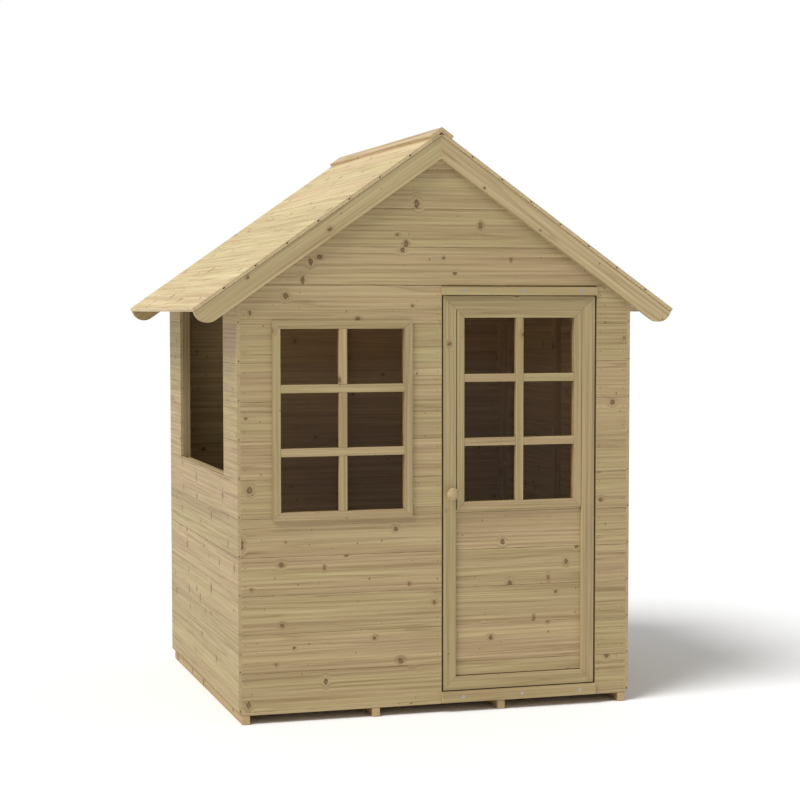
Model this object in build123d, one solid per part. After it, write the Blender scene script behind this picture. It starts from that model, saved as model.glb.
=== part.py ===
"""Wooden garden playhouse: flat-pack panels of tongue-and-groove boards on battens.

Axes: +X to the right seen from the front, +Y towards the back, +Z up. The origin is the
centre of the overall outline, on the ground. Millimetres.
"""
import os
from math import ceil, cos, radians, sin, tan

from build123d import *

# ---------------------------------------------------------------- boards and battens
board_cover = 95.0  # visible height of one board
wall_board_t = 8.0
floor_board_t = 8.0
roof_board_t = 9.0
tongue_h = 4.0
tongue_t = 2.6
groove_h = 6.5
groove_t = 3.2
roof_groove_h = 9.5
joint_chamfer = 0.8
foot_chamfer = 2.0  # along the foot of the front and back walls and of the gables
min_strip = 12.0  # a ripped strip is never narrower than this
batten = 20.0  # square framing batten
arris = 1.2  # eased long edges of the planed battens

# ---------------------------------------------------------------- walls and floor
wall_rows = 11
house_w = 1028.0  # over the side panels
house_d = 958.0  # length of the side panels
bearer_w = 20.0
bearer_h = 22.0
bearer_count = 4
back_upright_count = 1  # between the corner uprights
opening_rows = 5  # boards left out of the left wall, below its top edge
opening_w = 614.0

# ---------------------------------------------------------------- front panels
front_left_w = 512.0
doorway_w = 416.0
window_sight_w = 315.0
window_sight_h = 449.0
window_sill_z = 489.5  # bottom of the clear opening above the floor
trim_t = 8.0
window_trim_w = 20.0
bar_w = 20.0
pane_columns = 2
pane_rows = 3
glazing_t = 2.0
glazing_lap = 8.0  # how far the sheet reaches behind the boards
glazing_play = 0.5
bead_w = 8.0

# ---------------------------------------------------------------- door
door_gap_latch = 4.5
door_gap_hinge = 5.5
door_gap_top = 2.5
door_gap_bottom = 3.0
door_trim_w = 34.0
door_sight_w = 295.0
door_sight_h = 463.0
door_ledge_h = 40.0
trim_groove = 1.5  # shadow gap between the door's own trim and its window trim
kick_gap = 2.0  # shadow gap between the door's foot trim and its lowest board
stop_gap = 0.3
header_h = 21.5
header_drop = 2.0  # gap between the header batten and the gable above it
header_t = 16.0
sill_h = 28.0
sill_top_z = 22.0
sill_t = 16.0
facing_screw_first = 55.5
facing_screw_pitch = 157.7
facing_screw_count = 3

# ---------------------------------------------------------------- roof
roof_pitch = 35.0
eave_overhang = 112.0
eave_gap = 10.0  # roof's underside above the outer top edge of a side wall
barge_w = 45.5
barge_t = 16.5
barge_gap = 1.0  # shadow gap under the roof boards
barge_setback = 1.5  # behind the ends of the roof boards
barge_round = 32.0  # length of the rounded foot along the slope
cap_w = 37.5
cap_t = 7.5
cap_end_reach = 4.0
roof_batten_count = 3

# ---------------------------------------------------------------- hardware
knob_d = 31.0
knob_reach = 28.0
knob_neck_d = 15.0
knob_z = 524.5
knob_offset = 2.0  # from the middle of the latch side's trim, away from the door's edge
hinge_h = 54.0
hinge_r = 3.0
hinge_leaf_w = 17.0
hinge_leaf_t = 1.5
hinge_pin_r = 1.5
hinge_play = 0.05
hinge_end_gap = 0.4
hinge_inset = 140.0  # hinge centre from the door's top and bottom edges
magnet_d = 12.0
magnet_h = 8.0
plate_w = 42.0
plate_h = 24.0
plate_t = 1.5
catch_z = 640.0
screw_head_d = 7.6
screw_head_h = 2.6
screw_shank_d = 3.6
screw_recess = 1.0
screw_cross = 0.44  # length of the cross recess over the head's diameter
small_screw_head_d = 5.6
small_screw_head_h = 1.5
small_screw_shank_d = 2.6
panel_screw_z = (90.0, 520.0, 960.0)
batten_screw_z = (160.0, 650.0, 960.0)
screw_play = 0.05

# ---------------------------------------------------------------- worked out
pitch_cos = cos(radians(roof_pitch))
pitch_sin = sin(radians(roof_pitch))
pitch_tan = tan(radians(roof_pitch))
wall_h = wall_rows * board_cover
wall_t = wall_board_t + batten
inner_w = house_w - 2 * wall_board_t
front_right_w = inner_w - front_left_w - doorway_w
floor_z = bearer_h + floor_board_t
roof_reach = barge_t + barge_setback
overall_d = knob_reach + house_d + roof_reach + cap_end_reach
front_y = knob_reach - overall_d / 2
back_y = front_y + house_d
doorway_x = front_left_w - inner_w / 2
door_w = doorway_w - door_gap_latch - door_gap_hinge
door_x = doorway_x + door_gap_latch
door_z = sill_top_z + door_gap_bottom
header_z = wall_h - header_drop - header_h
door_top_z = header_z - door_gap_top
door_h = door_top_z - door_z
header_face = wall_board_t - header_t  # header and sill battens lie against the rails
sill_face = wall_board_t - sill_t
door_inner_y = wall_t + stop_gap
opening_sill_z = (wall_rows - opening_rows) * board_cover
opening_side_w = (house_d - opening_w) / 2
roof_half_w = house_w / 2 + eave_overhang
slope_len = roof_half_w / pitch_cos
roof_under_z = floor_z + wall_h + eave_gap + house_w / 2 * pitch_tan
ridge_z = roof_under_z + roof_board_t / pitch_cos
roof_d = house_d + 2 * roof_reach
reach = 4 * house_w  # longer than anything that is cut

front = Location((-inner_w / 2, front_y, floor_z))
back = Location((inner_w / 2, back_y, floor_z), (0, 0, 180))
right = Location((house_w / 2, front_y, floor_z), (0, 0, 90))
left = Location((-house_w / 2, back_y, floor_z), (0, 0, -90))
door = Location((door_x, front_y, floor_z))
# Slope frame of the right-hand roof: x from back to front, y below the top surface,
# z down the slope from the ridge.
slope = Plane(
    origin=(0, back_y + roof_reach, ridge_z),
    x_dir=(0, -1, 0),
    z_dir=(pitch_cos, 0, -pitch_sin),
).location

parts = {}


def block(x0, x1, y0, y1, z0, z1, ease=0.0):
    """Box between two corners, with its edges eased if asked."""
    shape = Pos(x0, y0, z0) * Box(x1 - x0, y1 - y0, z1 - z0, align=(Align.MIN,) * 3)
    if ease:
        shape = chamfer(shape.edges(), ease)
    return shape


def board(length, low, high, thickness, foot, groove, tongue):
    """One board lying along x, outer face at y = 0, from height low to high. foot is the
    chamfer along its lower edge and groove the depth of the groove there."""
    mid = thickness / 2
    foot = min(foot, mid / 2)
    head = joint_chamfer if tongue else 0.0
    points = [(0, low + foot), (foot, low)] if foot else [(0, low)]
    if groove:
        points += [(mid - groove_t / 2, low), (mid - groove_t / 2, low + groove)]
        points += [(mid + groove_t / 2, low + groove), (mid + groove_t / 2, low)]
    points += [(thickness, low), (thickness, high)]
    if tongue:
        points += [(mid + tongue_t / 2, high), (mid + tongue_t / 2, high + tongue_h)]
        points += [(mid - tongue_t / 2, high + tongue_h), (mid - tongue_t / 2, high)]
        points += [(head, high)]
    points += [(0, high - head)]
    return extrude(Plane.YZ * Polygon(*points, align=None), amount=length)


def boards(length, low, high, thickness=wall_board_t, foot=joint_chamfer, head_tongue=False):
    """Boards stacked from low to high, with their joints on whole board heights. foot is the
    chamfer under the lowest board; only a board with a chamfer there has a groove."""
    rows = range(1, ceil(high / board_cover))
    joints = [row * board_cover for row in rows]
    joints = [z for z in joints if low + min_strip < z < high - min_strip]
    edges = [low, *joints, high]
    stack = []
    for index, (bottom, top) in enumerate(zip(edges, edges[1:])):
        ease = joint_chamfer if index else foot
        groove = groove_h if ease else 0.0
        tongue = head_tongue or index < len(edges) - 2
        stack.append(board(length, bottom, top, thickness, ease, groove, tongue))
    return stack


def cut(shapes, *tools):
    """The solids that are left of the shapes once every tool is taken away."""
    kept = []
    for shape in shapes:
        for tool in tools:
            shape = shape - tool
        kept += shape.solids()
    return kept


def keep(shapes, tool):
    """The solids of the shapes inside the tool."""
    kept = []
    for shape in shapes:
        kept += (shape & tool).solids()
    return kept


def place(location, shapes):
    return [location * shape for shape in shapes]


def mirrored(shapes):
    return [mirror(shape, about=Plane.YZ) for shape in shapes]


def upright(x, low, high, width=batten):
    """Vertical framing batten behind the boards of a panel."""
    return block(x, x + width, wall_board_t, wall_t, low, high)


def rail(x0, x1, z, height=batten):
    """Horizontal framing batten behind the boards of a panel."""
    return block(x0, x1, wall_board_t, wall_t, z, z + height)


def mitred(width, height, bar, thickness):
    """Four mitred trim pieces round a rectangle, their front face at y = 0."""
    outline = RectangleRounded(bar, thickness, arris)
    pieces = []
    centre_y = thickness / 2
    for turn, length, offset in (
        (0, width, height), (90, height, width), (180, width, height), (270, height, width)
    ):
        half = length / 2
        stick = extrude(Plane.YZ * Rot(0, 0, 90) * outline, amount=half, both=True)
        wedge = Polygon((-half, 0), (half, 0), (half - bar, bar), (bar - half, bar), align=None)
        end_cut = extrude(Plane.XZ * wedge, amount=thickness, both=True)
        piece = (Pos(0, centre_y, bar / 2) * stick) & end_cut
        pieces.append(Rot(0, turn, 0) * Pos(0, 0, -offset / 2) * piece)
    return pieces


def bars(width, height, depth, long_vertical):
    """Glazing bars inside a sight opening; the long ones run through."""
    column_pitch = (width + bar_w) / pane_columns
    row_pitch = (height + bar_w) / pane_rows
    columns = [(c + 1) * column_pitch - bar_w for c in range(pane_columns - 1)]
    rows = [(r + 1) * row_pitch - bar_w for r in range(pane_rows - 1)]
    sticks = []
    if long_vertical:
        sticks += [block(x, x + bar_w, 0, depth, 0, height, arris) for x in columns]
        starts = [0.0] + [x + bar_w for x in columns]
        for x in starts:
            span = column_pitch - bar_w
            sticks += [block(x, x + span, 0, depth, z, z + bar_w, arris) for z in rows]
    else:
        sticks += [block(0, width, 0, depth, z, z + bar_w, arris) for z in rows]
        starts = [0.0] + [z + bar_w for z in rows]
        for z in starts:
            span = row_pitch - bar_w
            sticks += [block(x, x + bar_w, 0, depth, z, z + span, arris) for x in columns]
    return sticks


def beads(width, height, y):
    """Square beads that hold the sheet against the boards, round the sight opening."""
    side = bead_w
    return [
        block(-side, width + side, y, y + side, -side, 0),
        block(-side, width + side, y, y + side, height, height + side),
        block(-side, 0, y, y + side, 0, height),
        block(width, width + side, y, y + side, 0, height),
    ]


def sheet(width, height, y):
    lap = glazing_lap
    return [block(-lap, width + lap, y, y + glazing_t, -lap, height + lap)]


def screw(length, head_d=screw_head_d, head_h=screw_head_h, shank_d=screw_shank_d):
    """Countersunk cross-head screw, head up at z = 0."""
    top = (Align.CENTER, Align.CENTER, Align.MAX)
    head = Cone(shank_d / 2, head_d / 2, head_h, align=top)
    shank = Pos(0, 0, -head_h) * Cylinder(shank_d / 2, length - head_h - shank_d, align=top)
    tip = Pos(0, 0, shank_d - length) * Cone(0.0, shank_d / 2, shank_d, align=top)
    arm = Box(head_d * screw_cross, screw_recess * 0.8, screw_recess, align=top)
    return head + shank + tip - arm - Rot(0, 0, 90) * arm


def hole(length, head_d=screw_head_d, head_h=screw_head_h, shank_d=screw_shank_d):
    """What a screw takes out of the wood."""
    top = (Align.CENTER, Align.CENTER, Align.MAX)
    play = 2 * screw_play
    head = Cone((shank_d + play) / 2, (head_d + play) / 2, head_h, align=top)
    return head + Cylinder((shank_d + play) / 2, length + screw_play, align=top)


def aim(point, direction):
    """Where a screw goes: its head at the point, facing the direction."""
    return Plane(origin=point, z_dir=direction).location


# ---------------------------------------------------------------- floor
def make_floor():
    """Four bearers from front to back, and the deck boards across them."""
    names = ["left", "mid_left", "mid_right", "right"]
    pitch = (inner_w - bearer_w) / (bearer_count - 1)
    for index, name in enumerate(names):
        x = index * pitch - inner_w / 2
        parts[f"floor_bearer_{name}"] = [
            block(x, x + bearer_w, front_y, back_y, 0, bearer_h, arris)
        ]
    deck = boards(inner_w, 0, house_d - 2 * wall_board_t, floor_board_t, foot=0.0)
    lay = Location((-inner_w / 2, front_y + wall_board_t, floor_z), (-90, 0, 0))
    parts["floor_boards"] = place(lay, deck)


# ---------------------------------------------------------------- walls
def framed(width, low=0.0, high=wall_h):
    """Uprights at both ends of a panel with rails between them."""
    return [
        upright(0, low, high),
        upright(width - batten, low, high),
        rail(batten, width - batten, low),
        rail(batten, width - batten, high - batten),
    ]


def side_frame(extra):
    """Framing of a side panel, set in from its ends by the front and back panels."""
    first = wall_t
    last = house_d - wall_t - batten
    return [
        upright(first, 0, wall_h),
        upright(last, 0, wall_h),
        rail(first + batten, last, 0),
        rail(first + batten, last, wall_h - batten),
        *extra,
    ]


def make_front_left():
    """Front panel with the glazed window, from the corner to the doorway."""
    sight_x = (front_left_w - window_sight_w) / 2
    sight_top = window_sill_z + window_sight_h
    ring = glazing_lap + glazing_play
    gap = block(
        sight_x, sight_x + window_sight_w, -reach, reach, window_sill_z, sight_top
    )
    cladding = boards(front_left_w, -floor_board_t, wall_h, foot=foot_chamfer)
    parts["front_left_boards"] = place(front, cut(cladding, gap))
    low = window_sill_z - ring - batten
    high = sight_top + ring
    sticks = framed(front_left_w)
    sticks += [
        rail(batten, front_left_w - batten, low),
        rail(batten, front_left_w - batten, high),
        upright(sight_x - ring - batten, low + batten, high),
        upright(sight_x + window_sight_w + ring, low + batten, high),
    ]
    parts["front_left_frame"] = place(front, sticks)

    corner = front * Pos(sight_x, 0, window_sill_z)
    outer_w = window_sight_w + 2 * window_trim_w
    outer_h = window_sight_h + 2 * window_trim_w
    middle = corner * Pos(window_sight_w / 2, -trim_t, window_sight_h / 2)
    parts["window_trim"] = place(middle, mitred(outer_w, outer_h, window_trim_w, trim_t))
    depth = trim_t + wall_board_t
    grid = bars(window_sight_w, window_sight_h, depth, long_vertical=False)
    parts["window_bars"] = place(corner * Pos(0, -trim_t, 0), grid)
    glass = sheet(window_sight_w, window_sight_h, wall_board_t)
    parts["window_glazing"] = place(corner, glass)
    held = beads(window_sight_w, window_sight_h, wall_board_t + glazing_t)
    parts["window_beads"] = place(corner, held)


def make_front_right():
    """Narrow front panel that the door hangs on."""
    at = front * Pos(front_left_w + doorway_w, 0, 0)
    cladding = boards(front_right_w, -floor_board_t, wall_h, foot=foot_chamfer)
    parts["front_right_boards"] = place(at, cladding)
    parts["front_right_frame"] = place(at, framed(front_right_w))


def make_doorway():
    """Rails across the doorway, and the header and sill battens screwed on in front."""
    x0 = front_left_w
    x1 = front_left_w + doorway_w
    parts["door_head_rail"] = place(front, [rail(x0, x1, wall_h - batten)])
    parts["threshold_rail"] = place(front, [rail(x0, x1, 0)])
    header_high = header_z + header_h
    header = block(x0, x1, header_face, wall_board_t, header_z, header_high, arris)
    low = sill_top_z - sill_h
    sill = block(x0, x1, sill_face, wall_board_t, low, sill_top_z, arris)
    parts["header_batten"] = place(front, [header])
    parts["sill_batten"] = place(front, [sill])
    screws = []
    for index in range(facing_screw_count):
        x = x0 + facing_screw_first + index * facing_screw_pitch
        for y, z in ((header_face, header_z + header_h / 2), (sill_face, low + sill_h / 2)):
            screws.append(front * aim((x, y, z), (0, -1, 0)))
    length = header_t + batten / 2
    parts["facing_screws"] = [spot * screw(length) for spot in screws]
    holes = [spot * hole(length) for spot in screws]
    for name in ("header_batten", "sill_batten", "door_head_rail", "threshold_rail"):
        parts[name] = cut(parts[name], *holes)


def make_left_wall():
    """Side wall with the unglazed serving opening."""
    far = house_d - opening_side_w
    lower = boards(house_d, 0, opening_sill_z, head_tongue=True)
    parts["left_lower_boards"] = place(left, lower)
    column = boards(opening_side_w, opening_sill_z, wall_h)
    parts["left_rear_boards"] = place(left, column)
    parts["left_front_boards"] = place(left * Pos(far, 0, 0), column)
    middle = house_d / 2 - batten / 2
    sill_low = opening_sill_z - batten
    parts["left_wall_frame"] = place(left, side_frame([upright(middle, batten, sill_low)]))
    first = wall_t + batten
    sill = block(first, house_d - first, wall_board_t, wall_t, sill_low, opening_sill_z, arris)
    parts["opening_sill_batten"] = place(left, [sill])
    parts["opening_jambs"] = place(left, [
        block(x, x + batten, wall_board_t, wall_t, opening_sill_z, wall_h - batten, arris)
        for x in (opening_side_w - batten, far)
    ])


def make_right_wall():
    parts["right_boards"] = place(right, boards(house_d, 0, wall_h))
    middle = house_d / 2 - batten / 2
    extra = [upright(middle, batten, wall_h - batten)]
    parts["right_wall_frame"] = place(right, side_frame(extra))


def make_back_wall():
    cladding = boards(inner_w, -floor_board_t, wall_h, foot=foot_chamfer)
    parts["back_boards"] = place(back, cladding)
    sticks = framed(inner_w)
    pitch = (inner_w - batten) / (back_upright_count + 1)
    for index in range(back_upright_count):
        sticks.append(upright((index + 1) * pitch, batten, wall_h - batten))
    parts["back_frame"] = place(back, sticks)


def make_gables():
    """Triangular panels that stand on the front and back walls, under the roof."""
    top = roof_under_z - floor_z
    half = house_w / 2
    under = Polygon(
        (-reach, top - reach * pitch_tan), (reach, top - reach * pitch_tan), (0, top),
        align=None,
    )
    roof_line = extrude(Plane.XZ * under, amount=reach, both=True)
    rows = ceil((top - wall_h) / board_cover)
    cladding = boards(house_w, wall_h, wall_h + rows * board_cover, foot=foot_chamfer)
    cladding = keep([Pos(-half, 0, 0) * stick for stick in cladding], roof_line)
    base = rail(batten - inner_w / 2, inner_w / 2 - batten, wall_h)
    rakers = extrude(
        Plane.XZ * Polygon(
            (-reach, top - reach * pitch_tan), (0, top), (reach, top - reach * pitch_tan),
            (reach, top - reach * pitch_tan - batten / pitch_cos),
            (0, top - batten / pitch_cos),
            (-reach, top - reach * pitch_tan - batten / pitch_cos),
            align=None,
        ),
        amount=reach,
        both=True,
    )
    span = inner_w / 2 - batten
    room = [
        block(-span, 0, wall_board_t, wall_t, wall_h + batten, top),
        block(0, span, wall_board_t, wall_t, wall_h + batten, top),
    ]
    frame = [base] + [solid for side in room for solid in (side & rakers).solids()]
    for name, spot in (
        ("front", Location((0, front_y, floor_z))),
        ("back", Location((0, back_y, floor_z), (0, 0, 180))),
    ):
        parts[f"{name}_gable_boards"] = place(spot, cladding)
        parts[f"{name}_gable_frame"] = place(spot, frame)


# ---------------------------------------------------------------- roof
def right_of_ridge():
    return block(0, reach, -reach, reach, -reach, reach)


def make_roof():
    """Two slopes of boards on battens, the barge boards and the ridge capping."""
    side = right_of_ridge()
    rows = int(slope_len // board_cover)
    edges = [row * board_cover for row in range(rows)] + [slope_len]
    stack = []
    for index, (top, foot) in enumerate(zip(edges, edges[1:])):
        tongue = index < rows - 1
        stack.append(board(roof_d, top, foot, roof_board_t, joint_chamfer, roof_groove_h, tongue))
    skin = keep(place(slope, stack), side)
    parts["roof_boards_right"] = skin
    parts["roof_boards_left"] = mirrored(skin)

    # Battens under the boards, notched over the top of the side wall.
    first = roof_reach + wall_t
    last = roof_d - first - batten
    pitch = (last - first) / (roof_batten_count - 1)
    wall_top = floor_z + wall_h
    lowest = house_w / 2
    inner = house_w / 2 - wall_t
    notch = block(inner, reach, -reach, reach, -reach, wall_top)
    end = block(lowest, reach, -reach, reach, -reach, reach)
    sticks = []
    for index in range(roof_batten_count):
        x = first + index * pitch
        sticks.append(block(x, x + batten, roof_board_t, roof_board_t + batten, 0, slope_len))
    sticks = cut(keep(place(slope, sticks), side), notch, end)
    parts["roof_battens_right"] = sticks
    parts["roof_battens_left"] = mirrored(sticks)

    # Barge boards with a rounded foot.
    top = roof_board_t + barge_gap
    low = top + barge_w
    start = slope_len - barge_round
    outline = make_face(Curve() + [
        Line((top, -barge_w), (top, slope_len)),
        TangentArc((low, start), (top, slope_len), tangent=(0, 1)),
        Line((low, start), (low, -barge_w)),
        Line((low, -barge_w), (top, -barge_w)),
    ])
    plank = extrude(Plane.YZ * outline, amount=barge_t)
    for name, x in (("back", barge_setback), ("front", roof_d - roof_reach)):
        shape = keep([slope * Pos(x, 0, 0) * plank], side)
        parts[f"barge_board_{name}_right"] = shape
        parts[f"barge_board_{name}_left"] = mirrored(shape)

    # Capping boards, mitred along the ridge.
    cap = block(
        -cap_end_reach, roof_d + cap_end_reach, -cap_t, 0, -cap_w, cap_w - cap_t * pitch_tan
    )
    strip = keep([slope * cap], side)
    parts["ridge_cap_right"] = strip
    parts["ridge_cap_left"] = mirrored(strip)


# ---------------------------------------------------------------- door
def make_door():
    """Boarded door with a glazed top half, on a ledged inner frame."""
    sight_x = (door_w - door_sight_w) / 2
    outer_w = door_w - 2 * door_trim_w - 2 * trim_groove
    side_w = (outer_w - door_sight_w) / 2
    sight_top = door_top_z - door_trim_w - side_w
    sight_z = sight_top - door_sight_h
    gap = block(sight_x, sight_x + door_sight_w, -reach, reach, sight_z, sight_top)
    foot = door_z + door_trim_w
    cladding = boards(door_w, foot + kick_gap, door_top_z, foot=0.0)
    cladding = place(Pos(0, trim_t, 0), cladding)
    parts["door_boards"] = place(door, cut(cladding, gap))
    middle = Pos(door_w / 2, 0, (door_z + door_top_z) / 2)
    parts["door_trim"] = place(door * middle, mitred(door_w, door_h, door_trim_w, trim_t))

    corner = door * Pos(sight_x, 0, sight_z)
    centre = corner * Pos(door_sight_w / 2, 0, door_sight_h / 2)
    outer_h = door_sight_h + 2 * side_w
    trim = mitred(outer_w, outer_h, side_w, trim_t)
    parts["door_window_trim"] = place(centre, trim)
    depth = trim_t + wall_board_t
    grid = bars(door_sight_w, door_sight_h, depth, long_vertical=True)
    parts["door_window_bars"] = place(corner, grid)
    parts["door_glazing"] = place(corner, sheet(door_sight_w, door_sight_h, depth))
    held = beads(door_sight_w, door_sight_h, depth + glazing_t)
    parts["door_beads"] = place(corner, held)

    ring = glazing_lap + glazing_play
    stile_w = sight_x - ring
    y0 = depth
    y1 = door_inner_y
    ledges = [
        block(0, door_w, trim_t, y0, door_z, foot),
        block(0, stile_w, y0, y1, door_z, door_top_z),
        block(door_w - stile_w, door_w, y0, y1, door_z, door_top_z),
        block(stile_w, door_w - stile_w, y0, y1, door_z, door_z + door_ledge_h),
        block(stile_w, door_w - stile_w, y0, y1, sight_z - ring - door_ledge_h, sight_z - ring),
        block(stile_w, door_w - stile_w, y0, y1, sight_top + ring, door_top_z),
    ]
    parts["door_frame"] = place(door, ledges)


def make_knob():
    """Turned wooden knob, held by a screw from inside the door."""
    head_r = knob_d / 2
    neck_r = knob_neck_d / 2
    neck_h = knob_reach / 3
    rim = knob_reach * 0.75  # where the knob is widest
    profile = make_face(Curve() + [
        Line((0, 0), (neck_r + arris, 0)),
        ThreePointArc((neck_r + arris, 0), (neck_r, neck_h / 2), (neck_r + arris, neck_h)),
        TangentArc((head_r, rim), (neck_r + arris, neck_h), tangent=(0, -1)),
        TangentArc((0, knob_reach), (head_r, rim), tangent=(1, 0)),
        Line((0, knob_reach), (0, 0)),
    ])
    turned = revolve(Plane.XZ * profile, axis=Axis.Z)
    x = door_trim_w / 2 + knob_offset
    parts["door_knob"] = [door * aim((x, 0, knob_z), (0, -1, 0)) * turned]
    length = door_inner_y + knob_reach / 2
    spot = door * aim((x, door_inner_y, knob_z), (0, 1, 0))
    parts["knob_screw"] = [spot * screw(length)]
    for name in ("door_knob", "door_trim", "door_boards", "door_frame"):
        parts[name] = cut(parts[name], spot * hole(length))


def hinge_leaf(toward, knuckles, back):
    """Leaf with its own knuckles; the axis is at the origin and runs along z."""
    third = hinge_h / 3
    start = hinge_r + hinge_end_gap
    plate = block(start, start + hinge_leaf_w, back, back + hinge_leaf_t, 0, hinge_h)
    shape = plate
    for index in knuckles:
        low = index * third + hinge_end_gap / 2
        high = (index + 1) * third - hinge_end_gap / 2
        barrel = Pos(0, 0, low) * Cylinder(
            hinge_r, high - low, align=(Align.CENTER, Align.CENTER, Align.MIN)
        )
        shape = shape + barrel + block(0, start, back, back + hinge_leaf_t, low, high)
    shape = shape - Cylinder(hinge_pin_r + hinge_play, reach)
    if toward < 0:
        shape = mirror(shape, about=Plane.YZ)
    return shape


def make_hinges():
    """Two butt hinges on the inner faces of the door and of the jamb beside it."""
    axis_x = door_w + door_gap_hinge / 2
    axis_y = wall_t + hinge_r
    fixed = hinge_leaf(1, (0, 2), wall_t - axis_y)
    moving = hinge_leaf(-1, (1,), door_inner_y - axis_y)
    size = (small_screw_head_d, small_screw_head_h, small_screw_shank_d)
    length = batten / 2
    inset = hinge_h / 5
    plate_x = hinge_r + hinge_end_gap + hinge_leaf_w / 2
    fixed_leaves = []
    moving_leaves = []
    pins = []
    fixed_spots = []
    moving_spots = []
    for z in (door_z + hinge_inset, door_top_z - hinge_inset):
        low = z - hinge_h / 2
        at = door * Pos(axis_x, axis_y, low)
        fixed_leaves.append(at * fixed)
        moving_leaves.append(at * moving)
        pins.append(at * Cylinder(
            hinge_pin_r, hinge_h, align=(Align.CENTER, Align.CENTER, Align.MIN)
        ))
        for height in (inset, hinge_h - inset):
            face = hinge_leaf_t - axis_y
            fixed_spots.append(at * aim((plate_x, wall_t + face, height), (0, 1, 0)))
            moving_spots.append(at * aim((-plate_x, door_inner_y + face, height), (0, 1, 0)))
    fixed_holes = [spot * hole(length, *size) for spot in fixed_spots]
    moving_holes = [spot * hole(length, *size) for spot in moving_spots]
    parts["hinge_frame_leaves"] = cut(fixed_leaves, *fixed_holes)
    parts["hinge_door_leaves"] = cut(moving_leaves, *moving_holes)
    parts["hinge_pins"] = pins
    parts["hinge_frame_screws"] = [spot * screw(length, *size) for spot in fixed_spots]
    parts["door_hardware_screws"] = [spot * screw(length, *size) for spot in moving_spots]
    parts["front_right_frame"] = cut(parts["front_right_frame"], *fixed_holes)
    parts["door_frame"] = cut(parts["door_frame"], *moving_holes)


def make_catch():
    """Magnet let into the left jamb, and the steel plate that closes on it."""
    size = (small_screw_head_d, small_screw_head_h, small_screw_shank_d)
    length = batten / 2
    magnet_x = -door_gap_latch - batten / 2
    seat = door * aim((magnet_x, wall_t, catch_z), (0, 1, 0))
    top = (Align.CENTER, Align.CENTER, Align.MAX)
    parts["catch_magnet"] = [seat * Cylinder(magnet_d / 2, magnet_h, align=top)]
    bore = seat * Cylinder(magnet_d / 2 + screw_play, magnet_h, align=top)
    parts["front_left_frame"] = cut(parts["front_left_frame"], bore)
    x0 = magnet_x - magnet_d / 2
    plate = block(
        x0, x0 + plate_w, door_inner_y, door_inner_y + plate_t,
        catch_z - plate_h / 2, catch_z + plate_h / 2,
    )
    spots = []
    for z in (catch_z - plate_h / 4, catch_z + plate_h / 4):
        point = (x0 + plate_w - plate_h / 3, door_inner_y + plate_t, z)
        spots.append(door * aim(point, (0, 1, 0)))
    holes = [spot * hole(length, *size) for spot in spots]
    parts["catch_plate"] = cut([door * plate], *holes)
    parts["door_frame"] = cut(parts["door_frame"], *holes)
    parts["door_hardware_screws"] += [spot * screw(length, *size) for spot in spots]


def make_panel_screws():
    """Screws that hold the panels together at the corners, and the middle uprights."""
    length = 2 * batten - screw_head_h
    spots = []
    x = inner_w / 2 - batten / 2
    for z in panel_screw_z:
        for side in (-x, x):
            spots.append(aim((side, front_y + wall_t + batten, floor_z + z), (0, 1, 0)))
            spots.append(aim((side, back_y - wall_t - batten, floor_z + z), (0, -1, 0)))
    short = batten + wall_board_t / 2
    middles = []
    for z in batten_screw_z:
        middles.append(aim((0, back_y - wall_t, floor_z + z), (0, -1, 0)))
        middles.append(aim((house_w / 2 - wall_t, front_y + house_d / 2, floor_z + z), (-1, 0, 0)))
    parts["panel_screws"] = [spot * screw(length) for spot in spots]
    parts["batten_screws"] = [spot * screw(short) for spot in middles]
    holes = [spot * hole(length) for spot in spots]
    for name in ("front_left_frame", "front_right_frame", "back_frame", "left_wall_frame",
                 "right_wall_frame"):
        parts[name] = cut(parts[name], *holes)
    holes = [spot * hole(short) for spot in middles]
    for name in ("back_frame", "back_boards", "right_wall_frame", "right_boards"):
        parts[name] = cut(parts[name], *holes)


make_floor()
make_front_left()
make_front_right()
make_doorway()
make_left_wall()
make_right_wall()
make_back_wall()
make_gables()
make_roof()
make_door()
make_knob()
make_hinges()
make_catch()
make_panel_screws()

os.makedirs("parts", exist_ok=True)
for name, solids in parts.items():
    shape = solids[0] if len(solids) == 1 else Compound(children=solids)
    export_step(shape, f"parts/{name}.step")
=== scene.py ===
"""Looks of a wooden garden playhouse: tongue-and-groove panels, a glazed window, a door on two
butt hinges, a serving opening in the side and a plank roof with barge boards."""
from math import cos, pi, radians

import bmesh
import bpy
from mathutils import Matrix, Vector


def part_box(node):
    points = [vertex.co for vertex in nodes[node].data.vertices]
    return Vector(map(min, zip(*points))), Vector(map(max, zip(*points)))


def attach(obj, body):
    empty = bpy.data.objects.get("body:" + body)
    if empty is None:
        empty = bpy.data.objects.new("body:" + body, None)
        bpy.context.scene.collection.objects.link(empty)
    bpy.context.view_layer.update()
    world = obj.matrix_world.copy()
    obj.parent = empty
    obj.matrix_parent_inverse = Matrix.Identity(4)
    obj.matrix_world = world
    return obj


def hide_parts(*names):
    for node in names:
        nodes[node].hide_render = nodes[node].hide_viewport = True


bpy.ops.wm.read_factory_settings(use_empty=True)
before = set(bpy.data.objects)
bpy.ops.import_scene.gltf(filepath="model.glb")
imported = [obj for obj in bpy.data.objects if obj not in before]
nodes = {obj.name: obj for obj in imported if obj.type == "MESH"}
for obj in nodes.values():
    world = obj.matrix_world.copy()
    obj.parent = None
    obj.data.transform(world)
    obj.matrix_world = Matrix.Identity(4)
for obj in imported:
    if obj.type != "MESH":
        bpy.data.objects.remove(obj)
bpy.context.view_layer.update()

# ---------------------------------------------------------------- Floor bearers
# Four softwood battens on edge, pressure-treated, that carry the deck and keep it off the
# ground. Their sawn ends show under the front wall.


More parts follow.
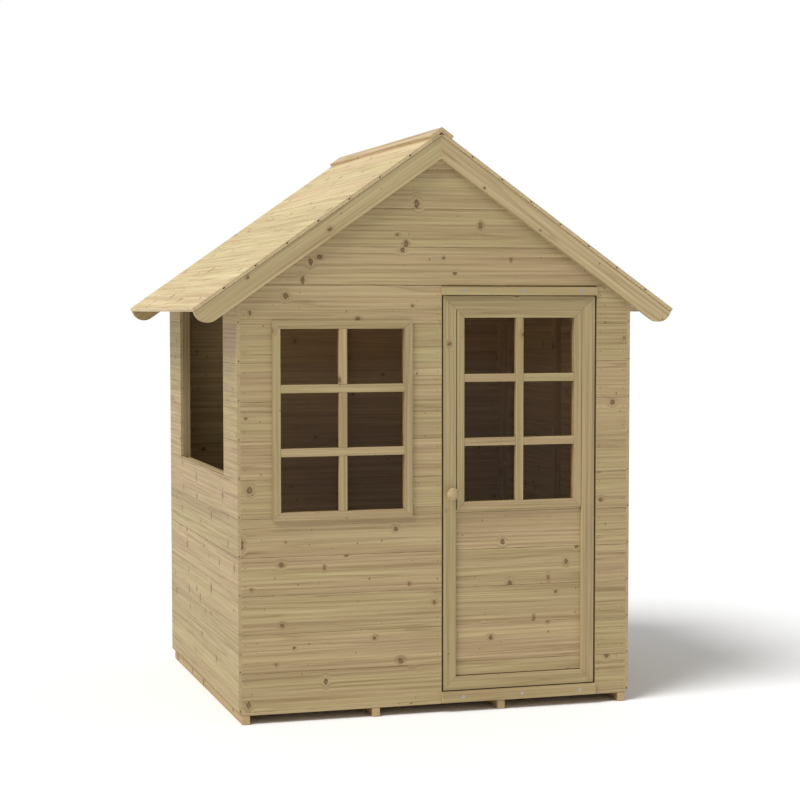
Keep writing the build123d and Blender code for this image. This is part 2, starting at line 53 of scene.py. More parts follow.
def linear(code):
    """A colour the shader can use, from the hex code of what the eye sees."""
    parts = [int(code[i:i + 2], 16) / 255 for i in (1, 3, 5)]
    return [c / 12.92 if c <= 0.04045 else ((c + 0.055) / 1.055) ** 2.4 for c in parts] + [1.0]


def add(tree, kind, inputs=(), **settings):
    """One shader node. Inputs are (socket, value or another node's output) pairs."""
    made = tree.nodes.new(kind)
    for key, value in settings.items():
        setattr(made, key, value)
    for key, value in inputs:
        if isinstance(value, bpy.types.NodeSocket):
            tree.links.new(value, made.inputs[key])
        else:
            made.inputs[key].default_value = value
    return made


def finish_with(material, cad_nodes):
    """Gives CAD nodes this material and nothing else."""
    for cad_node in cad_nodes:
        mesh = nodes[cad_node].data
        mesh.materials.clear()
        mesh.materials.append(material)


MATH = "ShaderNodeMath"
VECTOR = "ShaderNodeVectorMath"
MIX = "ShaderNodeMix"
RANGE = "ShaderNodeMapRange"
NOISE = "ShaderNodeTexNoise"


def grain_axes(tree, turn, rails):
    """Metres along the grain, across it and through the wood, and how far the surface looks
    along the grain. turn lays the grain along x and the boards' width along z; without it the
    piece carries its own axes. rails are the heights of the lying battens of a frame whose
    other battens stand."""
    if turn is None:
        carried = add(tree, "ShaderNodeAttribute", attribute_name="grain")
        axes = add(tree, "ShaderNodeSeparateXYZ", [(0, carried.outputs["Vector"])])
        return [*axes.outputs, None]
    coord = add(tree, "ShaderNodeTexCoord")
    place = add(tree, "ShaderNodeMapping", [(0, coord.outputs["Object"]), ("Rotation", turn)])
    facing = add(tree, "ShaderNodeMapping", [(0, coord.outputs["Normal"]), ("Rotation", turn)])
    along, depth, across = add(tree, "ShaderNodeSeparateXYZ", [(0, place.outputs[0])]).outputs
    end_x, _, end_z = add(tree, "ShaderNodeSeparateXYZ", [(0, facing.outputs[0])]).outputs
    if not rails:
        return along, across, depth, end_x
    lying = 0.0
    for low, high in rails:
        band = add(tree, MATH, [(0, across), (1, (low + high) / 2), (2, (high - low) / 2)],
                   operation="COMPARE")
        lying = add(tree, MATH, [(0, lying), (1, band.outputs[0])],
                    operation="MAXIMUM").outputs[0]
    run = add(tree, MIX, [(0, lying), (2, across), (3, along)]).outputs[0]
    width = add(tree, MIX, [(0, lying), (2, along), (3, across)]).outputs[0]
    end = add(tree, MIX, [(0, lying), (2, end_z), (3, end_x)]).outputs[0]
    return run, width, depth, end


def knots_in(tree, grain, share, length, width, small, large):
    """Knots from small to large in radius, at most one in each length by width of board, all
    in metres. Gives the way to the nearest one, its soft halo, its hard core and the paler
    eye in it. share is how many places hold one."""
    cells = add(tree, VECTOR, [(0, grain), (1, (1 / length, 1 / width, 0.0))],
                operation="MULTIPLY")
    spots = add(tree, "ShaderNodeTexVoronoi", [(0, cells.outputs[0]), ("Scale", 1.0)],
                voronoi_dimensions="2D")
    luck, shape, _ = add(tree, "ShaderNodeSeparateColor", [(0, spots.outputs["Color"])]).outputs
    away = add(tree, VECTOR, [(0, cells.outputs[0]), (1, spots.outputs["Position"])],
               operation="SUBTRACT")
    away = add(tree, VECTOR, [(0, away.outputs[0]), (1, (length, width, 0.0))],
               operation="MULTIPLY")
    # Some knots are cut at a slant, and show up to twice as tall as wide.
    tall = add(tree, RANGE, [(0, shape), (1, 0.3), (2, 1.0), (3, 1.15), (4, 0.4)])
    squash = add(tree, "ShaderNodeCombineXYZ", [(0, 1.0), (1, tall.outputs[0])])
    squashed = add(tree, VECTOR, [(0, away.outputs[0]), (1, squash.outputs[0])],
                   operation="MULTIPLY")
    far = add(tree, VECTOR, [(0, squashed.outputs[0])], operation="LENGTH")
    ragged = add(tree, NOISE, [(0, grain), ("Scale", 1.3 / large), ("Detail", 1.0)])
    ragged = add(tree, MATH, [(0, ragged.outputs[0]), (1, large), (2, -large / 2)],
                 operation="MULTIPLY_ADD")
    far = add(tree, MATH, [(0, far.outputs["Value"]), (1, ragged.outputs[0])], operation="ADD")
    radius = add(tree, RANGE, [(0, luck), (1, 1.0 - share), (2, 1.0), (3, small), (4, large)])
    ratio = add(tree, MATH, [(0, far.outputs[0]), (1, radius.outputs[0])], operation="DIVIDE")
    there = add(tree, MATH, [(0, luck), (1, 1.0 - share)], operation="GREATER_THAN")
    halo = add(tree, RANGE, [(0, ratio.outputs[0]), (1, 0.6), (2, 3.2), (3, 1.0), (4, 0.0)],
               interpolation_type="SMOOTHERSTEP")
    halo = add(tree, MATH, [(0, halo.outputs[0]), (1, there.outputs[0])], operation="MULTIPLY")
    core = add(tree, RANGE, [(0, ratio.outputs[0]), (1, 0.7), (2, 1.05), (3, 1.0), (4, 0.0)],
               interpolation_type="SMOOTHSTEP")
    core = add(tree, MATH, [(0, core.outputs[0]), (1, there.outputs[0])], operation="MULTIPLY")
    eye = add(tree, RANGE, [(0, ratio.outputs[0]), (1, 0.1), (2, 0.6), (3, 0.55), (4, 0.0)])
    return away.outputs[0], halo.outputs[0], core.outputs[0], eye.outputs[0]


def softwood(name, seed, turn=None, pitch=None, start=0.0, rails=(), early="#C4B28D",
             late="#8D7650", knots=0.66):
    """Pressure-treated spruce, planed. The eye sees long, nearly straight ring lines and fine
    streaks that part round small brown knots, a faint olive or pink cast that changes from
    board to board and within each, and pale speckled end grain. pitch and start say where one
    board ends and the next begins, and knots is the share of places that hold one."""
    mat = bpy.data.materials.new(name)
    mat.use_nodes = True
    tree = mat.node_tree
    tree.nodes.clear()
    out = add(tree, "ShaderNodeOutputMaterial")
    along, across, depth, end_way = grain_axes(tree, turn, rails)

    # Every board is cut from another part of the log.
    if turn is None:
        count = add(tree, MATH, [(0, along), (1, 0.1), (2, 0.5)], operation="MULTIPLY_ADD")
    elif pitch:
        count = add(tree, MATH, [(0, across), (1, 1 / pitch), (2, -start / pitch)],
                    operation="MULTIPLY_ADD")
    else:
        count = add(tree, MATH, [(0, across), (1, 0.0)], operation="MULTIPLY")
    row = add(tree, MATH, [(0, count.outputs[0])], operation="FLOOR")
    key = add(tree, MATH, [(0, row.outputs[0]), (1, 1.731), (2, seed)],
              operation="MULTIPLY_ADD")
    luck = add(tree, "ShaderNodeTexWhiteNoise", [("W", key.outputs[0])], noise_dimensions="1D")
    shift = add(tree, VECTOR, [(0, luck.outputs["Color"]), ("Scale", 7.0)], operation="SCALE")
    local = add(tree, "ShaderNodeCombineXYZ", [(0, along), (1, across), (2, depth)])
    grain = add(tree, VECTOR, [(0, local.outputs[0]), (1, shift.outputs[0])],
                operation="ADD").outputs[0]
    away, halo, core, eye = knots_in(tree, grain, knots, length=0.20, width=0.055,
                                      small=0.0026, large=0.0078)
    pin = knots_in(tree, grain, knots * 0.4, length=0.060, width=0.022, small=0.0006,
                   large=0.0024)[2]
    push = add(tree, VECTOR, [(0, away), ("Scale", halo)], operation="SCALE")
    parted = add(tree, VECTOR, [(0, grain), (1, push.outputs[0])],
                 operation="SUBTRACT").outputs[0]

    # Each layer of the figure: how many to the metre along, across and through the board.
    layers = {}
    for layer, per_metre, detail in (
        ("rings", (0.42, 21.0, 16.0), 1.2), ("bands", (0.9, 38.0, 20.0), 1.0),
        ("streaks", (2.0, 165.0, 110.0), 2.5), ("fibres", (9.0, 560.0, 560.0), 2.0),
    ):
        way = add(tree, VECTOR, [(0, parted), (1, per_metre)], operation="MULTIPLY")
        layers[layer] = add(tree, NOISE, [(0, way.outputs[0]), ("Scale", 1.0),
                                          ("Detail", detail)]).outputs[0]

    # Annual rings, 3 to 20 mm apart on the face: a soft pale side and a thin dark line.
    ring = add(tree, MATH, [(0, layers["rings"]), (1, 13.0)], operation="MULTIPLY")
    ring = add(tree, MATH, [(0, ring.outputs[0])], operation="FRACT")
    ring = add(tree, "ShaderNodeValToRGB", [(0, ring.outputs[0])])
    for spot, value in ((0.0, 0.15), (0.4, 0.0), (0.82, 0.45), (0.94, 1.0), (1.0, 0.15)):
        stops = ring.color_ramp.elements
        stop = stops.new(spot) if 0 < spot < 1 else stops[round(spot) * (len(stops) - 1)]
        stop.color = (value, value, value, 1.0)
    dark = -0.80
    for share, part in ((0.42, layers["bands"]), (0.32, ring.outputs[0]),
                        (1.3, layers["streaks"]), (0.62, layers["fibres"]), (0.18, halo)):
        dark = add(tree, MATH, [(0, part), (1, share), (2, dark)],
                   operation="MULTIPLY_ADD").outputs[0]
    wood = add(tree, MIX, [(0, dark), (6, linear(early)), (7, linear(late))],
               data_type="RGBA").outputs[2]

    # Cast: olive where the treatment took, pinkish in the heartwood.
    cast = add(tree, MATH, [(0, luck.outputs["Value"]), (1, 0.5), (2, -0.25)],
               operation="MULTIPLY_ADD")
    cast = add(tree, MATH, [(0, layers["bands"]), (1, cast.outputs[0])], operation="ADD")
    tint = add(tree, "ShaderNodeValToRGB", [(0, cast.outputs[0])])
    tint.color_ramp.elements[0].position = 0.2
    tint.color_ramp.elements[0].color = linear("#F7F7E2")
    tint.color_ramp.elements[1].position = 0.8
    tint.color_ramp.elements[1].color = linear("#F8EFE8")
    wood = add(tree, MIX, [(0, 1.0), (6, wood), (7, tint.outputs[0])],
               data_type="RGBA", blend_type="MULTIPLY").outputs[2]
    tone = add(tree, MATH, [(0, luck.outputs["Value"]), (1, 0.10), (2, 0.95)],
               operation="MULTIPLY_ADD")
    wood = add(tree, "ShaderNodeHueSaturation", [("Value", tone.outputs[0]), ("Color", wood)])
    wood = add(tree, MIX, [(0, core), (6, wood.outputs[0]), (7, linear("#6A4D2F"))],
               data_type="RGBA").outputs[2]
    wood = add(tree, MIX, [(0, pin), (6, wood), (7, linear("#75583A"))],
               data_type="RGBA").outputs[2]
    both = add(tree, MATH, [(0, core), (1, eye)], operation="MULTIPLY")
    wood = add(tree, MIX, [(0, both.outputs[0]), (6, wood), (7, linear("#A07E54"))],
               data_type="RGBA").outputs[2]
    if pitch:
        # Painted shade and dust: the tight joint between two boards is darkened in a line under 1
        # mm wide.
        part = add(tree, MATH, [(0, count.outputs[0])], operation="FRACT")
        part = add(tree, MATH, [(0, part.outputs[0]), (1, 0.5)], operation="SUBTRACT")
        part = add(tree, MATH, [(0, part.outputs[0])], operation="ABSOLUTE")
        joint = add(tree, RANGE, [(0, part.outputs[0]), (1, 0.5 - 0.0012 / pitch),
                                  (2, 0.5 - 0.0003 / pitch), (3, 0.0), (4, 1.0)])
        dust_and_shade = add(tree, NOISE, [(0, grain), ("Scale", 26.0), ("Detail", 1.0)])
        dust_and_shade = add(tree, RANGE, [(0, dust_and_shade.outputs[0]), (1, 0.4), (2, 0.62), (3, 0.05),
                                 (4, 0.6)])
        joint = add(tree, MATH, [(0, joint.outputs[0]), (1, dust_and_shade.outputs[0])],
                    operation="MULTIPLY")
        # The dark joint colour is painted shade, broken up by the dust noise.
        wood = add(tree, MIX, [(0, joint.outputs[0]), (6, wood), (7, linear("#4A3820"))],
                   data_type="RGBA").outputs[2]
    if end_way is not None:
        # Sawn ends are a little paler than the face and finely speckled.
        ends = add(tree, MATH, [(0, end_way)], operation="ABSOLUTE")
        ends = add(tree, RANGE, [(0, ends.outputs[0]), (1, 0.8), (2, 0.95), (3, 0.0), (4, 0.6)])
        pores = add(tree, NOISE, [(0, grain), ("Scale", 420.0), ("Detail", 2.0)])
        sawn = add(tree, MIX, [(0, pores.outputs[0]), (6, linear("#9C835A")),
                               (7, linear("#C4B088"))], data_type="RGBA")
        wood = add(tree, MIX, [(0, ends.outputs[0]), (6, wood), (7, sawn.outputs[2])],
                   data_type="RGBA").outputs[2]
    relief = add(tree, MATH, [(0, layers["fibres"]), (1, 0.7), (2, 0.0)],
                 operation="MULTIPLY_ADD")
    relief = add(tree, MATH, [(0, ring.outputs[0]), (1, 0.4), (2, relief.outputs[0])],
                 operation="MULTIPLY_ADD")
    bump = add(tree, "ShaderNodeBump", [("Strength", 0.35), ("Distance", 0.0004),
                                        ("Height", relief.outputs[0])])
    rough = add(tree, MATH, [(0, layers["fibres"]), (1, 0.16), (2, 0.54)],
                operation="MULTIPLY_ADD")
    skin = add(tree, "ShaderNodeBsdfPrincipled",
               [("Base Color", wood), ("Roughness", rough.outputs[0]),
                ("Normal", bump.outputs[0]), ("IOR", 1.5)])
    tree.links.new(skin.outputs[0], out.inputs[0])
    return mat


level = (0.0, 0.0, 0.0)  # grain already along x, boards stacked up z
sideways = (0.0, 0.0, -pi / 2)  # grain along y
laid = (pi / 2, 0.0, 0.0)  # boards side by side along y

bearers = [n for n in nodes if n.startswith("floor_bearer")]
finish_with(softwood("spruce_bearers", 3.1, sideways, early="#C6AE84", late="#98794E"), bearers)

# ---------------------------------------------------------------- Deck boards
# Tongue-and-groove boards across the bearers, from wall to wall.
board = 0.095
deck_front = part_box("floor_boards")[0].y
finish_with(softwood("spruce_deck", 8.4, laid, board, deck_front, early="#C4A97C"),
            ["floor_boards"])

# ---------------------------------------------------------------- Wall boards
# Eleven rows of tongue-and-groove boards in every panel, 95 mm apart, starting at the deck.
deck_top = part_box("floor_boards")[1].z
finish_with(softwood("spruce_front_left", 11.0, level, board, deck_top), ["front_left_boards"])
finish_with(softwood("spruce_front_right", 23.0, level, board, deck_top), ["front_right_boards"])
finish_with(softwood("spruce_back", 35.0, level, board, deck_top), ["back_boards"])
finish_with(softwood("spruce_left_lower", 41.0, sideways, board, deck_top),
            ["left_lower_boards"])
finish_with(softwood("spruce_left_front", 53.0, sideways, board, deck_top),
            ["left_front_boards"])
finish_with(softwood("spruce_left_rear", 67.0, sideways, board, deck_top), ["left_rear_boards"])
finish_with(softwood("spruce_right", 71.0, sideways, board, deck_top), ["right_boards"])

# ---------------------------------------------------------------- Panel frames
# Square battens behind the boards: standing ones at the edges and lying ones top and bottom.
batten = 0.020
wall_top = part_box("back_frame")[1].z
plain_rails = [(deck_top, deck_top + batten), (wall_top - batten, wall_top)]
sight_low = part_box("window_bars")[0].z
sight_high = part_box("window_bars")[1].z
pane_margin = 0.0085  # from the edge of the panes to the batten beside them
window_rails = [(sight_low - pane_margin - batten, sight_low - pane_margin),
                (sight_high + pane_margin, sight_high + pane_margin + batten)]
finish_with(softwood("batten_front", 5.0, level, rails=plain_rails + window_rails),
            ["front_left_frame"])
finish_with(softwood("batten_upright", 6.0, level, rails=plain_rails),
            ["front_right_frame", "back_frame"])
finish_with(softwood("batten_side", 7.0, sideways, rails=plain_rails),
            ["left_wall_frame", "right_wall_frame"])
finish_with(softwood("batten_level", 9.0, level),
            ["door_head_rail", "threshold_rail", "front_gable_frame", "back_gable_frame"])

# ---------------------------------------------------------------- Brads
# Thin steel brads, two through each board into every upright behind it. Their heads lie flush
# with the wood and have gone brown. They are drawn 2.4 mm wide, a little coarse, to show.
brad_steel = bpy.data.materials.new("browned_steel_brads")
brad_steel.use_nodes = True
tree = brad_steel.node_tree
tree.nodes.clear()
coord = add(tree, "ShaderNodeTexCoord")
rust = add(tree, NOISE, [(0, coord.outputs["Object"]), ("Scale", 800.0)])
tone = add(tree, MIX, [(0, rust.outputs[0]), (6, linear("#4C3A26")), (7, linear("#6B543A"))],
           data_type="RGBA")
head = add(tree, "ShaderNodeBsdfPrincipled", [("Base Color", tone.outputs[2]),
                                              ("Metallic", 0.6), ("Roughness", 0.55)])
add(tree, "ShaderNodeOutputMaterial", [(0, head.outputs[0])])


neck_radius = 0.0009
head_radius = 0.0012
head_thickness = 0.0010
head_proud = 0.0001


def brad(whole, place, direction):
    """One brad head, standing a little out of the board's face."""
    turn = Vector(direction).to_track_quat("Z", "Y").to_matrix().to_4x4()
    sunk = Matrix.Translation((0.0, 0.0, head_proud - head_thickness / 2))
    bmesh.ops.create_cone(whole, cap_ends=True, segments=8, radius1=neck_radius,
                          radius2=head_radius, depth=head_thickness,
                          matrix=Matrix.Translation(place) @ turn @ sunk)


def piece(name, whole, body, material, stands_for=(), smooth=False):
    """Turns a finished bmesh into an object that rides on a body."""
    mesh = bpy.data.meshes.new(name)
    whole.to_mesh(mesh)
    whole.free()
    mesh.shade_smooth() if smooth else mesh.shade_flat()
    mesh.materials.append(material)
    made = bpy.data.objects.new(name, mesh)
    bpy.context.scene.collection.objects.link(made)
    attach(made, body)
    if stands_for:
        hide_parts(*stands_for)
    return made


brads = bmesh.new()
house_low, house_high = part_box("left_lower_boards")[0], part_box("right_boards")[1]
upright_in = 0.038  # centre of a side panel's first upright behind the front face
wall_rows = 11
rows_below_opening = 6
heights_on_board = (0.024, 0.071)
for row in range(wall_rows):
    for up in heights_on_board:
        z = deck_top + row * board + up
        ways = [house_low.y + upright_in, house_high.y - upright_in]
        for y in ways + [(house_low.y + house_high.y) / 2]:
            brad(brads, (house_high.x, y, z), (1, 0, 0))
            if y in ways or row < rows_below_opening:
                brad(brads, (house_low.x, y, z), (-1, 0, 0))
        for panel in ("front_left_frame", "front_right_frame"):
            low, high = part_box(panel)
            for x in (low.x + batten / 2, high.x - batten / 2):
                brad(brads, (x, house_low.y, z), (0, -1, 0))
        low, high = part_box("back_frame")
        for x in (low.x + batten / 2, (low.x + high.x) / 2, high.x - batten / 2):
            brad(brads, (x, house_high.y, z), (0, 1, 0))
piece("wall_brads", brads, "house", brad_steel)

# ---------------------------------------------------------------- Serving opening
# A sill batten and two jamb battens line the opening on the inside.
finish_with(softwood("sill_batten_side", 13.0, sideways), ["opening_sill_batten"])
upright = (0.0, pi / 2, 0.0)  # grain up z
# The jamb battens are given darker colours than the other battens as painted shade, for they stand
# in shadow inside the opening.
finish_with(softwood("jamb_batten_painted_shade", 14.0, upright, early="#AE9B78", late="#7C6746"),
            ["opening_jambs"])

# ---------------------------------------------------------------- Window trim and bars
# Planed strips with eased edges: four mitred round the opening, and glazing bars across it.
# The two long bars lie, and the short ones stand between them.
stick_count = 0


def stick(whole, low, high, mitre=0.0, ease=0.0012):
    """Adds one strip between two corners. Its grain runs the long way, and mitre takes 45
    degrees off both ends, towards the side that the sign says."""
    global stick_count
    stick_count += 1
    low, high = Vector(low), Vector(high)
    size = high - low
    lying = size.x >= size.z
    length, width = (size.x, size.z) if lying else (size.z, size.x)
    one = bmesh.new()
    bmesh.ops.create_cube(one, size=1.0)
    bmesh.ops.scale(one, vec=(length, size.y, width), verts=one.verts)
    if mitre:
        side = 1.0 if mitre > 0 else -1.0
        for end in (-1.0, 1.0):
            corner = Vector((end * length / 2, 0.0, -side * width / 2))
            cut = bmesh.ops.bisect_plane(one, geom=one.verts[:] + one.edges[:] + one.faces[:],
                                         plane_co=corner, plane_no=(end, 0.0, side),
                                         clear_outer=True)
            rim = [g for g in cut["geom_cut"] if isinstance(g, bmesh.types.BMEdge)]
            bmesh.ops.contextual_create(one, geom=rim)
    bmesh.ops.bevel(one, geom=one.edges[:], offset=ease, segments=2, profile=0.5,
                    affect="EDGES", material=-1)
    layer = one.verts.layers.float_vector.new("grain")
    for vert in one.verts:
        vert[layer] = vert.co.xzy + Vector((10.0 * stick_count, 0.0, 0.0))
    if not lying:
        bmesh.ops.rotate(one, matrix=Matrix.Rotation(-pi / 2, 3, "Y"), verts=one.verts)
    bmesh.ops.translate(one, vec=(low + high) / 2, verts=one.verts)
    part = bpy.data.meshes.new("strip")
    one.to_mesh(part)
    one.free()
    whole.from_mesh(part)
    bpy.data.meshes.remove(part)


def new_layered():
    """An empty mesh that strips, with their grain, are added to."""
    whole = bmesh.new()
    whole.verts.layers.float_vector.new("grain")
    return whole


def mitred_ring(name, cad_node, width, body, material):
    """Four strips, mitred at the corners, round the outline of a CAD node."""
    low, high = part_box(cad_node)
    whole = new_layered()
    stick(whole, (low.x, low.y, high.z - width), (high.x, high.y, high.z), mitre=-1.0)
    stick(whole, (low.x, low.y, low.z), (high.x, high.y, low.z + width), mitre=1.0)
    stick(whole, (low.x, low.y, low.z), (low.x + width, high.y, high.z), mitre=-1.0)
    stick(whole, (high.x - width, low.y, low.z), (high.x, high.y, high.z), mitre=1.0)
    return piece(name, whole, body, material, [cad_node])


trim_wood = softwood("planed_spruce_trim", 91.0, knots=0.22, early="#BFAE89", late="#8F7A55")
window_trim_width = 0.020
mitred_ring("window_trim_strips", "window_trim", window_trim_width, "house", trim_wood)

bar = 0.020
low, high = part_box("window_bars")
bars = new_layered()
row_pitch = (high.z - low.z + bar) / 3
for row in range(3):
    foot = low.z + row * row_pitch
    if row:
        stick(bars, (low.x, low.y, foot - bar), (high.x, high.y, foot))
    middle = (low.x + high.x) / 2
    stick(bars, (middle - bar / 2, low.y, foot), (middle + bar / 2, high.y, foot + row_pitch - bar))
piece("window_glazing_bars", bars, "house", trim_wood, ["window_bars"])

# ---------------------------------------------------------------- Window sheets
# Clear polystyrene, 2 mm thick, held against the boards by square beads. It is slightly warm
# and has the soft gloss of plastic.
clear = bpy.data.materials.new("clear_polystyrene_sheet")
clear.use_nodes = True
tree = clear.node_tree
tree.nodes.clear()
coord = add(tree, "ShaderNodeTexCoord")
haze = add(tree, NOISE, [(0, coord.outputs["Object"]), ("Scale", 14.0)])
rough = add(tree, RANGE, [(0, haze.outputs[0]), (3, 0.02), (4, 0.09)])
sheet = add(tree, "ShaderNodeBsdfPrincipled",
            [("Base Color", linear("#F2DCC2")), ("Roughness", rough.outputs[0]),
             ("Transmission Weight", 1.0), ("IOR", 1.2)])
add(tree, "ShaderNodeOutputMaterial", [(0, sheet.outputs[0])])
finish_with(clear, ["window_glazing", "door_glazing"])
finish_with(softwood("glazing_beads", 17.0, level), ["window_beads", "door_beads"])

# ---------------------------------------------------------------- Doorway battens
# A header and a sill batten cover the joints above and below the door, each held by three
# countersunk zinc-plated screws.
header_wood = softwood("header_and_sill_spruce", 21.0, level, early="#C2B18B")
finish_with(header_wood, ["header_batten", "sill_batten"])


def zinc(name, base, rough_low, rough_high, face=None):
    """Zinc-plated steel, bright-passivated: a pale blue-grey metal, mottled by its crystals.
    What lies deeper along y than face is the recess, painted dark as shade."""
    mat = bpy.data.materials.new(name)
    mat.use_nodes = True
    tree = mat.node_tree
    tree.nodes.clear()
    coord = add(tree, "ShaderNodeTexCoord")
    crystals = add(tree, "ShaderNodeTexVoronoi", [(0, coord.outputs["Object"]), ("Scale", 650.0)])
    tone = add(tree, MIX, [(0, crystals.outputs["Distance"]), (6, linear(base)),
                                       (7, linear("#C9CDD0"))], data_type="RGBA")
    rough = add(tree, RANGE,
                [(0, crystals.outputs["Distance"]), (3, rough_low), (4, rough_high)])
    if face is not None:
        # Painted shade: the recess of the screw heads is coloured near black.
        _, deep, _ = add(tree, "ShaderNodeSeparateXYZ", [(0, coord.outputs["Object"])]).outputs
        deep = add(tree, RANGE, [(0, deep), (1, face + 0.0001), (2, face + 0.0004)])
        tone = add(tree, MIX, [(0, deep.outputs[0]), (6, tone.outputs[2]),
                               (7, linear("#26282A"))], data_type="RGBA")
    steel = add(tree, "ShaderNodeBsdfPrincipled",
                [("Base Color", tone.outputs[2]), ("Metallic", 1.0),
                 ("Roughness", rough.outputs[0])])
    add(tree, "ShaderNodeOutputMaterial", [(0, steel.outputs[0])])
    return mat


screw_steel = zinc("zinc_plated_screws", "#9AA0A6", 0.28, 0.45)
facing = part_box("facing_screws")[0].y
finish_with(zinc("zinc_plated_facing_screws", "#9AA0A6", 0.28, 0.45, facing), ["facing_screws"])
finish_with(screw_steel, ["panel_screws", "batten_screws", "hinge_frame_screws",
                          "door_hardware_screws", "knob_screw"])

# ---------------------------------------------------------------- Door
# Boards inside a mitred trim, with the same trim again round its window, on a frame of
# ledges and stiles.
finish_with(softwood("spruce_door", 83.0, level, board, deck_top), ["door_boards"])
ledge_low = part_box("door_frame")[0].z
ledge_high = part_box("door_frame")[1].z
pane_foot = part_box("door_window_bars")[0].z
ledge = 0.040
top_ledge = 0.0455
ledges = [(ledge_low, ledge_low + ledge),
          (pane_foot - pane_margin - ledge, pane_foot - pane_margin),
          (ledge_high - top_ledge, ledge_high)]
finish_with(softwood("door_ledges", 29.0, level, rails=ledges), ["door_frame"])
door_trim_width = 0.034
mitred_ring("door_trim_strips", "door_trim", door_trim_width, "door", trim_wood)
mitred_ring("door_window_trim_strips", "door_window_trim", window_trim_width, "door", trim_wood)
low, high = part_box("door_window_bars")
bars = new_layered()
middle = (low.x + high.x) / 2
stick(bars, (middle - bar / 2, low.y, low.z), (middle + bar / 2, high.y, high.z))
row_pitch = (high.z - low.z + bar) / 3
for row in (1, 2):
    foot = low.z + row * row_pitch - bar
    stick(bars, (low.x, low.y, foot), (middle - bar / 2, high.y, foot + bar))
    stick(bars, (middle + bar / 2, low.y, foot), (high.x, high.y, foot + bar))
piece("door_glazing_bars", bars, "door", trim_wood, ["door_window_bars"])

# ---------------------------------------------------------------- Door knob
# Turned from softwood along its grain, so the rings show on its face.
finish_with(softwood("turned_spruce_knob", 31.0, (0.0, 0.0, pi / 2), early="#C4B28C", knots=0.0),
            ["door_knob"])

# ---------------------------------------------------------------- Hinges and catch
# Pressed-steel butt hinges inside the door, and a ferrite magnet with its steel plate.
finish_with(zinc("pressed_steel_hinges", "#A6ABAF", 0.3, 0.42),
            ["hinge_frame_leaves", "hinge_door_leaves", "hinge_pins", "catch_plate"])
ferrite = bpy.data.materials.new("ferrite_magnet")
ferrite.use_nodes = True
tree = ferrite.node_tree
tree.nodes.clear()
coord = add(tree, "ShaderNodeTexCoord")
grit = add(tree, NOISE, [(0, coord.outputs["Object"]), ("Scale", 900.0)])
tone = add(tree, MIX, [(0, grit.outputs[0]), (6, linear("#2A2A2C")),
                                   (7, linear("#3D3C3D"))], data_type="RGBA")
core = add(tree, "ShaderNodeBsdfPrincipled", [("Base Color", tone.outputs[2]),
                                              ("Roughness", 0.6)])
add(tree, "ShaderNodeOutputMaterial", [(0, core.outputs[0])])
finish_with(ferrite, ["catch_magnet"])

# ---------------------------------------------------------------- Gables
# Four rows of boards above each end wall, cut to the slope of the roof.
finish_with(softwood("spruce_front_gable", 97.0, level, board, deck_top), ["front_gable_boards"])
finish_with(softwood("spruce_back_gable", 103.0, level, board, deck_top), ["back_gable_boards"])

# ---------------------------------------------------------------- Roof
# Boards from front to back down each slope, on three battens a side.
pitch_angle = radians(35.0)
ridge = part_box("roof_boards_right")[1].z
down_right = (0.0, pi / 2 - pitch_angle, -pi / 2)
down_left = (0.0, pitch_angle - pi / 2, -pi / 2)
first_joint = ridge * cos(pi / 2 - pitch_angle)
roof = dict(pitch=board, start=first_joint, early="#EEDDB9", late="#B59B72")
finish_with(softwood("spruce_roof_right", 107.0, down_right, **roof), ["roof_boards_right"])
finish_with(softwood("spruce_roof_left", 127.0, down_left, **roof), ["roof_boards_left"])
finish_with(softwood("roof_batten_right", 37.0, (0.0, -pitch_angle, 0.0)),
            ["roof_battens_right"])
finish_with(softwood("roof_batten_left", 39.0, (0.0, pitch_angle, 0.0)), ["roof_battens_left"])

# ---------------------------------------------------------------- Barge boards
# Planed boards under the roof's ends, mitred at the ridge and rounded at the foot.
barge = dict(knots=0.45, early="#CCBB97", late="#9A845E")
finish_with(softwood("barge_front_right", 131.0, (0.0, -pitch_angle, 0.0), **barge),
            ["barge_board_front_right"])
finish_with(softwood("barge_front_left", 139.0, (0.0, pitch_angle, 0.0), **barge),
            ["barge_board_front_left"])
finish_with(softwood("barge_back_right", 149.0, (0.0, -pitch_angle, 0.0), **barge),
            ["barge_board_back_right"])
finish_with(softwood("barge_back_left", 151.0, (0.0, pitch_angle, 0.0), **barge),
            ["barge_board_back_left"])

# ---------------------------------------------------------------- Ridge capping
# Two thin boards, mitred together over the ridge.
finish_with(softwood("ridge_cap_spruce", 163.0, sideways, early="#E2D2AE", late="#A0865F"),
            ["ridge_cap_left", "ridge_cap_right"])

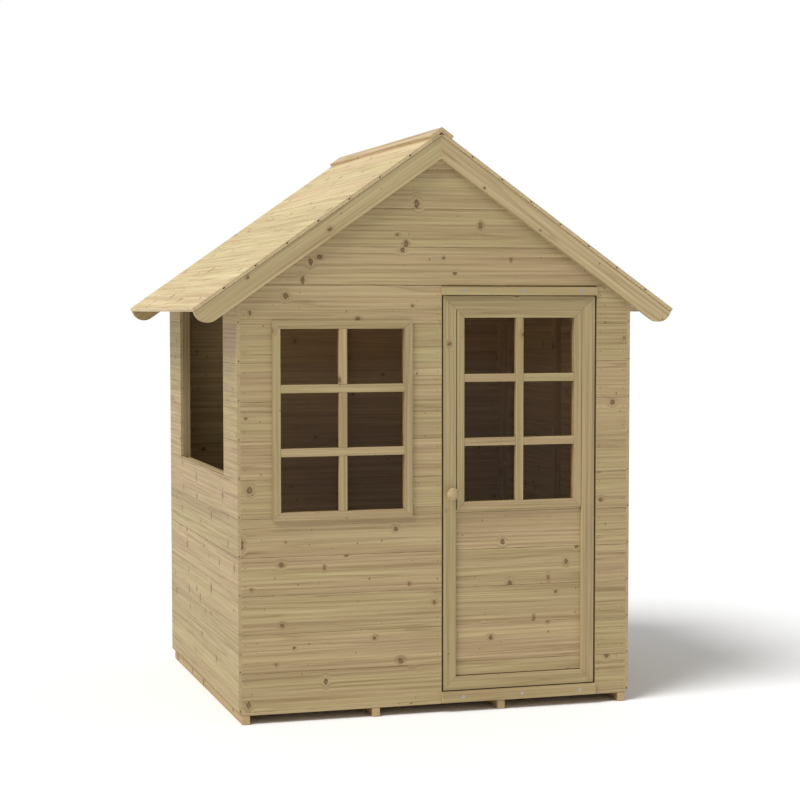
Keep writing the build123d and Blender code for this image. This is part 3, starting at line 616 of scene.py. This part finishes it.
# ---------------------------------------------------------------- Ground, light and camera
# A plain pale floor, one broad soft light high on the left and an even white surround.
ground_mat = bpy.data.materials.new("pale_floor")
ground_mat.use_nodes = True
ground_shader = ground_mat.node_tree.nodes["Principled BSDF"]
ground_shader.inputs["Base Color"].default_value = linear("#FFFFFF")
ground_shader.inputs["Roughness"].default_value = 0.9
ground = bmesh.new()
floor_size = 60.0
floor_behind = 30.0
floor_drop = 0.0005
bmesh.ops.create_grid(ground, x_segments=1, y_segments=1, size=floor_size)
bmesh.ops.translate(ground, vec=(0.0, floor_behind, -floor_drop), verts=ground.verts)
mesh = bpy.data.meshes.new("ground")
ground.to_mesh(mesh)
ground.free()
mesh.materials.append(ground_mat)
floor_plane = bpy.data.objects.new("ground", mesh)
bpy.context.scene.collection.objects.link(floor_plane)

world = bpy.data.worlds.new("studio")
world.use_nodes = True
bpy.context.scene.world = world
tree = world.node_tree
tree.nodes.clear()
path = add(tree, "ShaderNodeLightPath")
fill = add(tree, MIX, [(0, path.outputs["Is Camera Ray"]), (2, 0.46), (3, 1.0)])
surround = add(tree, "ShaderNodeBackground", [(0, (1.0, 1.0, 1.0, 1.0)), (1, fill.outputs[0])])
add(tree, "ShaderNodeOutputWorld", [(0, surround.outputs[0])])

key = bpy.data.lights.new("softbox", "SUN")
key.energy = 2.45
key.angle = radians(28)
lamp = bpy.data.objects.new("softbox", key)
lamp.rotation_euler = Vector((-0.54, -0.26, 0.80)).to_track_quat("Z", "Y").to_euler()
bpy.context.scene.collection.objects.link(lamp)

front_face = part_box("front_left_boards")[0].y
eye = bpy.data.cameras.new("camera")
eye.sensor_width = 36.0
eye.lens = 87.12
eye.shift_x = -0.0376
eye.shift_y = 0.0346
camera = bpy.data.objects.new("camera", eye)
stand_left, stand_back, eye_height = 1.4567, 4.610, 0.9859
look_right, look_down = 17.258, 3.496
camera.location = (-stand_left, front_face - stand_back, deck_top + eye_height)
camera.rotation_euler = (radians(90.0 - look_down), 0.0, radians(-look_right))
bpy.context.scene.collection.objects.link(camera)
bpy.context.scene.camera = camera
bpy.context.scene.view_settings.view_transform = "Standard"
